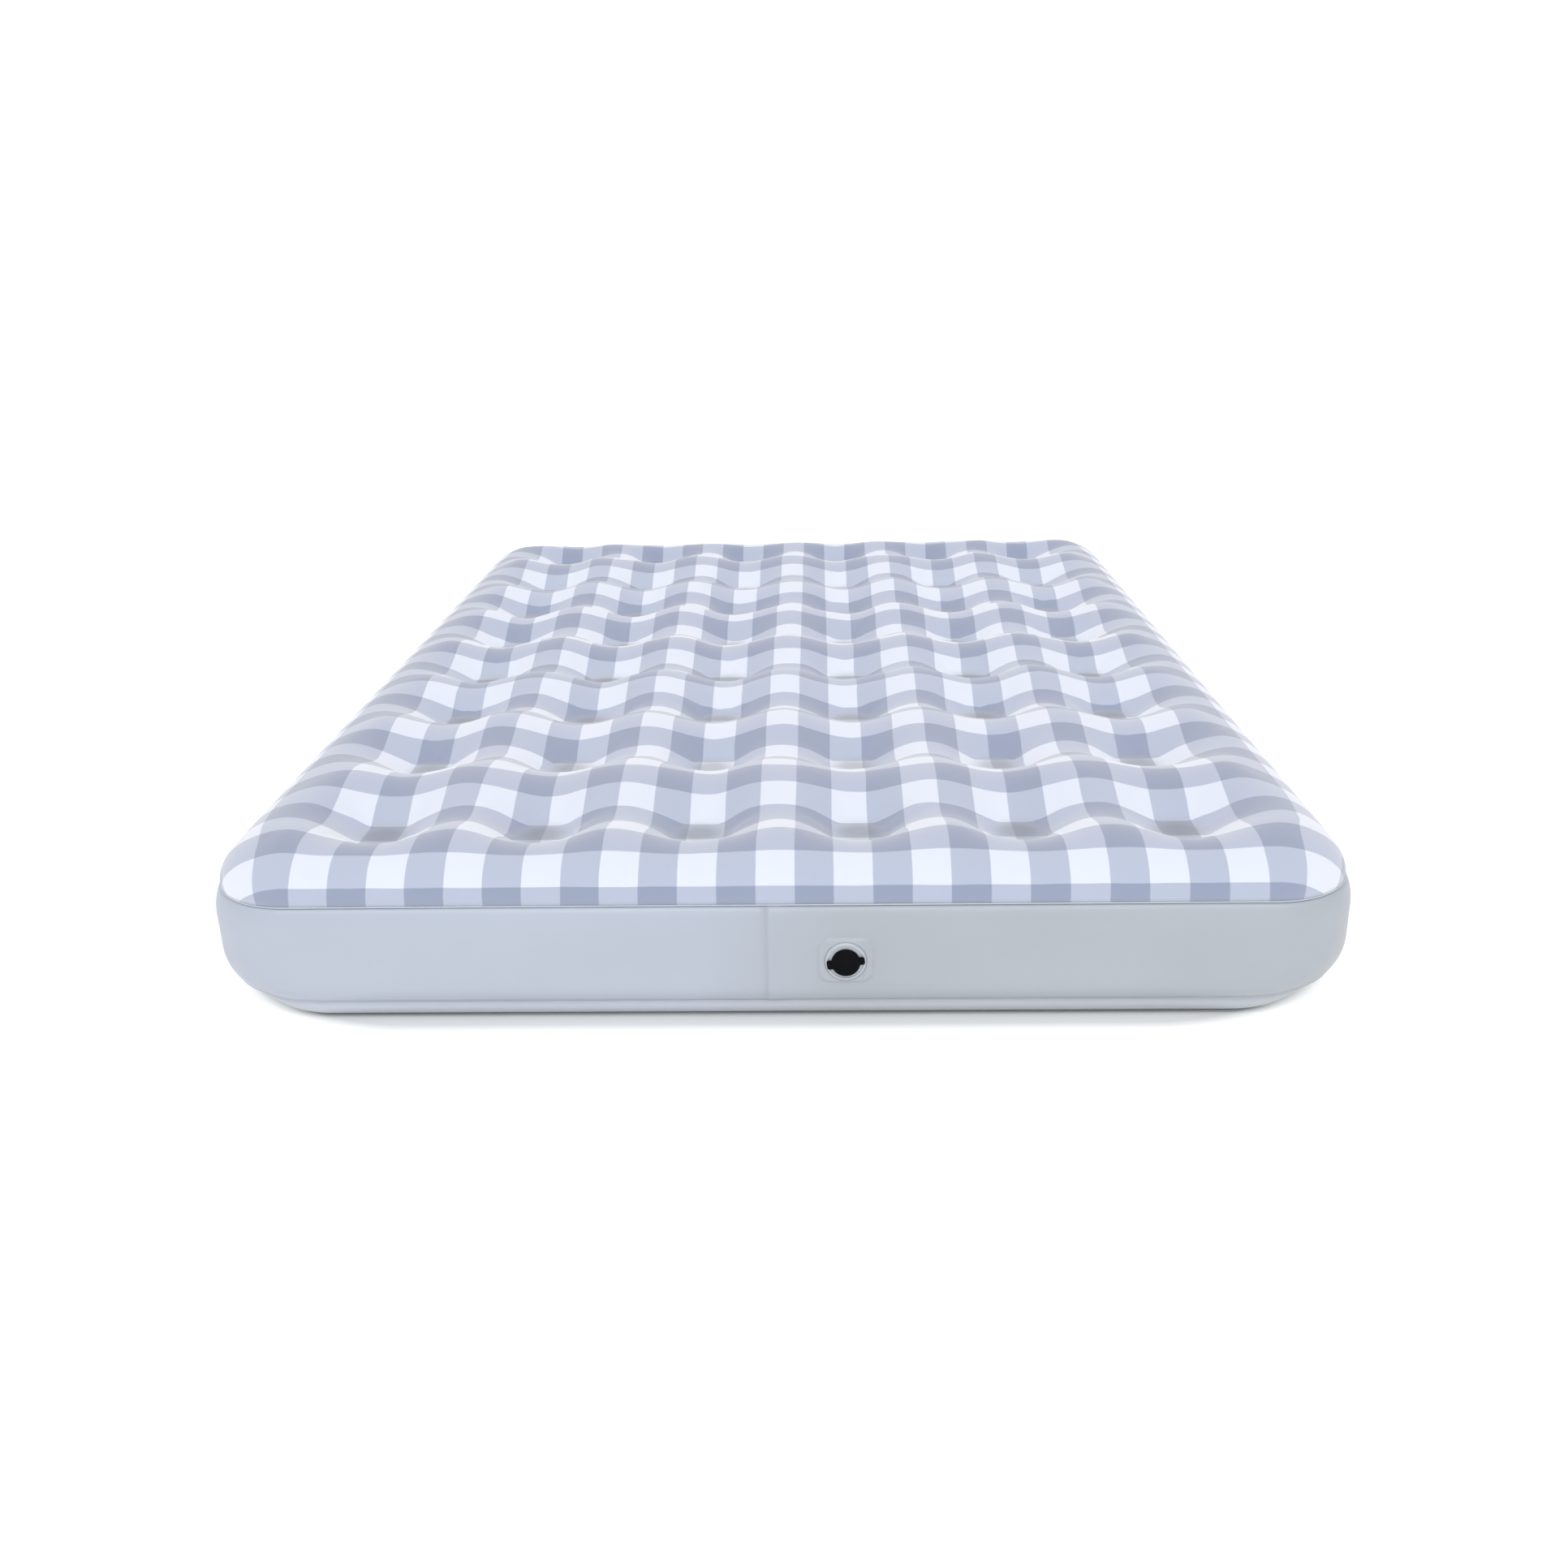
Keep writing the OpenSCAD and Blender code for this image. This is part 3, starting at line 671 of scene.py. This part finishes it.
def make_ear(side, width):
    """A flat grip ear with rounded corners and edges, from inside the cap out to its tip."""
    half, r = width / 2, EAR_CORNER_R
    outline = [(EAR_ROOT, -half)]
    for start, cy in ((-90, -half + r), (0, half - r)):
        outline += [(EAR_TIP - r + r * math.cos(math.radians(start + a)),
                     cy + r * math.sin(math.radians(start + a))) for a in range(0, 91, 15)]
    outline.append((EAR_ROOT, half))
    centre = Vector((EAR_ROOT, 0))
    levels = [
        (EAR_LOW_W, EAR_EDGE), (EAR_LOW_W + EAR_EDGE_MIDDLE, EAR_EDGE_MIDDLE),
        (EAR_LOW_W + EAR_EDGE, 0), (EAR_HIGH_W - EAR_EDGE, 0),
        (EAR_HIGH_W - EAR_EDGE_MIDDLE, EAR_EDGE_MIDDLE), (EAR_HIGH_W, EAR_EDGE)]
    points = []
    for w, inward in levels:
        for x, y in outline:
            way = (Vector((x, y)) - centre).normalized()
            points.append((side * (x - way.x * inward), y - way.y * inward, w))
    count = len(outline)
    faces = grid_faces(len(levels), count, wrap=True)
    faces.append(tuple(reversed(range(count))))
    faces.append(tuple(range((len(levels) - 1) * count, len(levels) * count)))
    if side < 0:
        faces = [face[::-1] for face in faces]
    mesh = bpy.data.meshes.new("ear")
    mesh.from_pydata(points, [], faces)
    return add_object("ear", mesh)


# Materials
class Nodes:
    """Short calls to add nodes to a node tree."""

    def __init__(self, tree):
        self.tree = tree

    def node(self, kind, **inputs):
        node = self.tree.nodes.new(kind)
        for key, value in inputs.items():
            self.put(node, key, value)
        return node

    def put(self, node, key, value):
        """Sets or links an input, given by its name or number."""
        socket = node.inputs[key]
        if isinstance(value, bpy.types.NodeSocket):
            self.tree.links.new(value, socket)
        else:
            socket.default_value = value

    def math(self, operation, a, b=0.0):
        node = self.node("ShaderNodeMath")
        node.operation = operation
        self.put(node, 0, a)
        self.put(node, 1, b)
        return node.outputs[0]

    def between(self, value, low_in, high_in, low_out=0.0, high_out=1.0, smooth=False):
        node = self.node("ShaderNodeMapRange", **{
            "Value": value, "From Min": low_in, "From Max": high_in,
            "To Min": low_out, "To Max": high_out})
        node.interpolation_type = "SMOOTHSTEP" if smooth else "LINEAR"
        return node.outputs[0]

    def noise(self, scale, detail, vector=None):
        node = self.node("ShaderNodeTexNoise", Scale=scale, Detail=detail)
        self.put(node, "Vector", vector if vector is not None else self.place())
        return node.outputs["Fac"]

    def place(self):
        return self.node("ShaderNodeTexCoord").outputs["Object"]

    def mix(self, factor, a, b, blend="MIX"):
        node = self.node("ShaderNodeMix")
        node.data_type = "RGBA"
        node.blend_type = blend
        for number, value in ((0, factor), (6, a), (7, b)):
            self.put(node, number, value)
        return node.outputs[2]

    def bump(self, height, distance, strength, normal=None):
        node = self.node("ShaderNodeBump", Height=height, Distance=distance, Strength=strength)
        if normal is not None:
            self.put(node, "Normal", normal)
        return node.outputs[0]


class Shader(Nodes):
    """A material with a Principled shader."""

    def __init__(self, name):
        self.material = bpy.data.materials.new(name)
        self.material.use_nodes = True
        super().__init__(self.material.node_tree)
        self.shader = self.tree.nodes["Principled BSDF"]

    def set(self, **inputs):
        for key, value in inputs.items():
            self.put(self.shader, key.replace("_", " "), value)


CHECK_U = 99.18 * MM
CHECK_V = 101.37 * MM
CHECK_FROM_U = -1.5 * MM
CHECK_FROM_V = 29.1 * MM
QUARTER_CHECK = 0.25
PRINT_EDGE = 0.006
PRINT_WOBBLE = 2.4 * MM
# Painted shade in the dimples: the distances from a coil over which it fades out
DIMPLE_SHADE_FROM_TO = (10 * MM, 52 * MM)
FLOCK_WHITE = (0.685, 0.715, 0.785, 1)
PRINT_TINT = (0.605, 0.635, 0.707, 1)
# Colour of the painted shade in the dimples
DIMPLE_SHADE = (0.52, 0.545, 0.56, 1)
CLOUD_TINT = (0.72, 0.72, 0.75, 1)
CLOUD_SHARE = 0.06
FIBRE_TINT = (0.70, 0.70, 0.72, 1)
FIBRE_SHARE = 0.10


def flock():
    """Flocked vinyl with a woven-look check: a stripe along and a stripe across, darker where they
    cross. Round each weld disc the flock is darkened with painted shade, darkest at the disc's
    middle."""
    s = Shader("printed_flock")
    sheet = s.node("ShaderNodeAttribute")
    sheet.attribute_name = "sheet"
    on_sheet = sheet.outputs["Vector"]
    across, along, from_coil = s.node("ShaderNodeSeparateXYZ", Vector=on_sheet).outputs
    print_drift_and_wall_shade = s.math("SUBTRACT", s.noise(scale=14, detail=2, vector=on_sheet), 0.5)
    wobble = s.math("MULTIPLY", print_drift_and_wall_shade, PRINT_WOBBLE)

    def stripe(place, start, repeat):
        past_start = s.math("SUBTRACT", s.math("ADD", place, wobble), start)
        checks = s.math("DIVIDE", past_start, repeat)
        share = s.math("FRACT", s.math("ADD", checks, 0.5))
        from_start = s.math("ABSOLUTE", s.math("SUBTRACT", share, 0.5))
        return s.between(from_start, QUARTER_CHECK - PRINT_EDGE, QUARTER_CHECK + PRINT_EDGE)

    colour = s.mix(stripe(across, CHECK_FROM_U, CHECK_U), FLOCK_WHITE, PRINT_TINT, "MULTIPLY")
    colour = s.mix(stripe(along, CHECK_FROM_V, CHECK_V), colour, PRINT_TINT, "MULTIPLY")
    cloud = s.between(s.noise(scale=9, detail=4), 0.3, 0.7)
    colour = s.mix(s.math("MULTIPLY", cloud, CLOUD_SHARE), colour, CLOUD_TINT, "MULTIPLY")
    fibre = s.between(s.noise(scale=1400, detail=2), 0.25, 0.75)
    colour = s.mix(s.math("MULTIPLY", fibre, FIBRE_SHARE), colour, FIBRE_TINT, "MULTIPLY")
    # Painted shade: darkens the flock round each weld disc, fading out towards the rim of the dimple
    dimple_shade = s.between(from_coil, *DIMPLE_SHADE_FROM_TO, 1.0, 0.0, smooth=True)
    colour = s.mix(dimple_shade, colour, DIMPLE_SHADE, "MULTIPLY")
    s.set(Base_Color=colour, Roughness=0.86, Specular_IOR_Level=0.25, Sheen_Weight=0.50,
          Sheen_Roughness=0.7, Sheen_Tint=(1.0, 0.96, 0.88, 1))
    nap = s.bump(s.noise(scale=900, detail=3), distance=0.25 * MM, strength=0.5)
    s.set(Normal=s.bump(
        s.noise(scale=60, detail=3), distance=0.6 * MM, strength=0.35, normal=nap))
    return s.material


# Painted light on the foot of the wall, as from the bright floor: its colour, its share, and the
# heights over which it fades out
PAINTED_FOOT_LIGHT = (0.62, 0.64, 0.655, 1)
FOOT_LIGHT_SHARE = 0.42
FOOT_LIGHT_FROM_TO = (10 * MM, 40 * MM)
# Spread of the painted shade on the wall: a short span across the lap at the front, side to side
# elsewhere
RIGHT_SHADE_FRONT_W = 90 * MM
RIGHT_SHADE_FROM_TO_Y = (-0.95, -0.85)


def vinyl(name, colour, deep, roughness, grain=1.0, print_drift_and_wall_shade=None):
    """Satin vinyl film with a fine emboss and faint clouding. For the wall a tint is multiplied in
    as painted shade that grows from one side of its lap to the other, and the foot is lightened with
    painted light."""
    s = Shader(name)
    cloud = s.between(s.noise(scale=3.5, detail=5), 0.32, 0.68)
    base = s.mix(cloud, colour, deep)
    if print_drift_and_wall_shade:
        x, y, z = s.node("ShaderNodeSeparateXYZ", Vector=s.place()).outputs
        # Painted shade: the tint darkens the film towards the right, over 180 mm across the lap at
        # the front and from side to side round the rest
        width = s.between(y, *RIGHT_SHADE_FROM_TO_Y, RIGHT_SHADE_FRONT_W, WALL_X)
        past = s.math("DIVIDE", s.math("SUBTRACT", x, LAP_X), width)
        base = s.mix(s.between(past, -1.0, 1.0), base, print_drift_and_wall_shade, "MULTIPLY")
        # Painted light: below 40 mm the film is mixed towards a paler grey, most below 10 mm, as if
        # lit from the floor
        base = s.mix(s.between(z, *FOOT_LIGHT_FROM_TO, FOOT_LIGHT_SHARE, 0.0), base, PAINTED_FOOT_LIGHT)
    patches = s.noise(scale=24, detail=4)
    s.set(Base_Color=base,
          Roughness=s.between(patches, 0.3, 0.7, roughness - 0.06, roughness + 0.08),
          Specular_IOR_Level=0.45, Coat_Weight=0.12, Coat_Roughness=0.35)
    emboss = s.bump(s.noise(scale=700, detail=2), distance=0.12 * MM, strength=0.5 * grain)
    s.set(Normal=s.bump(
        s.noise(scale=16, detail=3), distance=1.2 * MM, strength=0.25 * grain, normal=emboss))
    return s.material


RUB_SHARE = 0.6


def plastic(name, colour, worn, roughness, shine=0.5):
    """Moulded plastic with a spark-eroded grain and rubbed patches."""
    s = Shader(name)
    rub = s.between(s.noise(scale=120, detail=5), 0.52, 0.72)
    s.set(Base_Color=s.mix(s.math("MULTIPLY", rub, RUB_SHARE), colour, worn),
          Roughness=s.between(rub, 0, 1, roughness, roughness + 0.14), Specular_IOR_Level=shine)
    s.set(Normal=s.bump(s.noise(scale=2600, detail=2), distance=0.05 * MM, strength=0.5))
    return s.material


def dress(piece, material):
    piece.data.materials.clear()
    piece.data.materials.append(material)


# Assembly
top = make_top()
base = make_base()
wall = make_wall()
top_weld = make_weld("top_weld", TOP_DRAW, TOP_SEAM_Z, 1.0 * MM, 0.9 * MM, "wall_film")
low_weld = make_weld("low_weld", LOW_DRAW, LOW_SEAM_Z, 0.6 * MM, 1.0 * MM, "wall_film")
cap = make_cap()

# The wall's last tint is painted shade, darkening its film to the right of the lap
wall_vinyl = vinyl("wall_vinyl", (0.437, 0.472, 0.535, 1), (0.414, 0.448, 0.507, 1), 0.45,
                   print_drift_and_wall_shade=(0.905, 0.895, 0.84, 1))
weld_vinyl = vinyl("weld_vinyl", (0.50, 0.54, 0.60, 1), (0.47, 0.505, 0.56, 1), 0.32)
coil_vinyl = vinyl("coil_vinyl", (0.70, 0.72, 0.74, 1), (0.62, 0.65, 0.68, 1), 0.4)
collar_vinyl = vinyl("collar_vinyl", (0.47, 0.495, 0.52, 1), (0.44, 0.465, 0.49, 1), 0.3, grain=0.5)
flap_vinyl = vinyl("flap_vinyl", (0.62, 0.63, 0.64, 1), (0.55, 0.56, 0.58, 1), 0.35)
black_plastic = plastic(
    "black_plastic", (0.003, 0.003, 0.004, 1), (0.006, 0.006, 0.007, 1), 0.48, shine=0.06)
seal_rubber = plastic("seal_rubber", (0.022, 0.022, 0.024, 1), (0.04, 0.04, 0.042, 1), 0.62)
grey_plastic = plastic("grey_plastic", (0.28, 0.29, 0.30, 1), (0.36, 0.37, 0.38, 1), 0.4)
valve_finish = {
    "valve_base": collar_vinyl, "valve_body": collar_vinyl, "body_gasket": seal_rubber,
    "cap_gasket": seal_rubber, "check_flap": flap_vinyl, "flap_pin": grey_plastic}

dress(top, flock())
for piece in (wall, base, low_weld):
    dress(piece, wall_vinyl)
dress(top_weld, weld_vinyl)
dress(cap, black_plastic)
for name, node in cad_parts.items():
    dress(node, valve_finish.get(name, coil_vinyl))


# Stage, light and camera
FLOOR_HALF = 20.0
FLOOR_DROP = 0.6 * MM
FLOOR_PALE = (0.76, 0.75, 0.73, 1)
FLOOR_DEEP = (0.74, 0.73, 0.71, 1)
FLOOR_GLOW = 0.42
SHADE_R = 280 * MM
SHADE_EDGE = 25 * MM


def make_floor():
    """White paper with painted light: it glows a little outside the outline of the bed, and the
    unglowing paper next to the bed is a painted shadow.
    """
    mesh = bpy.data.meshes.new("floor")
    corners = ((-1, -1), (1, -1), (1, 1), (-1, 1))
    mesh.from_pydata(
        [(x * FLOOR_HALF, y * FLOOR_HALF, -FLOOR_DROP) for x, y in corners], [], [(0, 1, 2, 3)])
    floor = add_object("floor", mesh)
    s = Shader("floor_paper")
    tone = s.between(s.noise(scale=2, detail=3), 0.3, 0.7)
    place = s.node("ShaderNodeSeparateXYZ", Vector=s.place())
    past = [s.math("MAXIMUM", s.math("SUBTRACT", s.math("ABSOLUTE", place.outputs[k]), middle), 0.0)
            for k, middle in enumerate((WALL_X - SHADE_R, WALL_Y - SHADE_R))]
    squares = s.math("ADD", s.math("POWER", past[0], 2.0), s.math("POWER", past[1], 2.0))
    away = s.math("POWER", squares, 0.5)
    # Painted light and painted shadow: no glow within the bed's rounded outline, full glow 25 mm
    # beyond it
    s.set(Base_Color=s.mix(tone, FLOOR_PALE, FLOOR_DEEP), Roughness=0.9,
          Specular_IOR_Level=0.0, Emission_Color=(1, 1, 1, 1),
          Emission_Strength=s.between(away, SHADE_R, SHADE_R + SHADE_EDGE, 0.0, FLOOR_GLOW))
    floor.data.materials.append(s.material)


ROOM_WHITE = (1.05, 1.05, 1.05, 1)
ROOM_FRONT = (0.22, 0.23, 0.25, 1)
ROOM_ABOVE = (0.94, 0.91, 0.935, 1)
LAMP_ENERGY = 0.58 * math.pi
LAMP_COLOUR = (0.86, 0.93, 1.0)
LAMP_SPREAD = math.radians(45)
LAMP_WAY = (0.0, 0.67, -0.74)


def make_light():
    """A pale room that is darker low down in front, and a broad soft lamp above the valve end."""
    world = bpy.data.worlds.new("studio")
    bpy.context.scene.world = world
    world.use_nodes = True
    s = Nodes(world.node_tree)
    way = s.node("ShaderNodeTexCoord").outputs["Generated"]
    _, y, z = s.node("ShaderNodeSeparateXYZ", Vector=way).outputs
    level = s.mix(s.between(y, 0.0, 0.9, smooth=True), ROOM_FRONT, ROOM_WHITE)
    tone = s.mix(s.between(z, 0.0, 0.94, smooth=True), level, ROOM_ABOVE)
    tone = s.mix(s.between(z, -0.05, 0.01, smooth=True), ROOM_WHITE, tone)
    s.put(s.tree.nodes["Background"], "Color", tone)
    lamp = bpy.data.lights.new("lamp", "SUN")
    lamp.energy = LAMP_ENERGY
    lamp.color = LAMP_COLOUR
    lamp.angle = LAMP_SPREAD
    lamp_object = add_object("lamp", lamp)
    lamp_object.rotation_euler = Vector(LAMP_WAY).to_track_quat("-Z", "Y").to_euler()
    bpy.context.scene.view_settings.view_transform = "Standard"


# The camera was solved from the photograph: its place, its turns in radians and its focal length
PHOTO_PX = 1932
FOCAL_PX = 1819.8
SENSOR_MM = 36
CAMERA_PLACE = (55.5 * MM, -2708.8 * MM, 979.0 * MM)
YAW, PITCH, ROLL = 0.0253, 0.3636, -0.0174


def make_camera():
    data = bpy.data.cameras.new("camera")
    data.sensor_width = SENSOR_MM
    data.lens = SENSOR_MM * FOCAL_PX / PHOTO_PX
    camera = add_object("camera", data)
    forward = Vector((
        -math.sin(YAW) * math.cos(PITCH), math.cos(YAW) * math.cos(PITCH), -math.sin(PITCH)))
    level = Vector((math.cos(YAW), math.sin(YAW), 0))
    upright = level.cross(forward)
    right = math.cos(ROLL) * level + math.sin(ROLL) * upright
    up = -math.sin(ROLL) * level + math.cos(ROLL) * upright
    turn = Matrix((right, up, -forward)).transposed()
    camera.matrix_world = Matrix.Translation(CAMERA_PLACE) @ turn.to_4x4()
    bpy.context.scene.camera = camera


make_floor()
make_light()
make_camera()
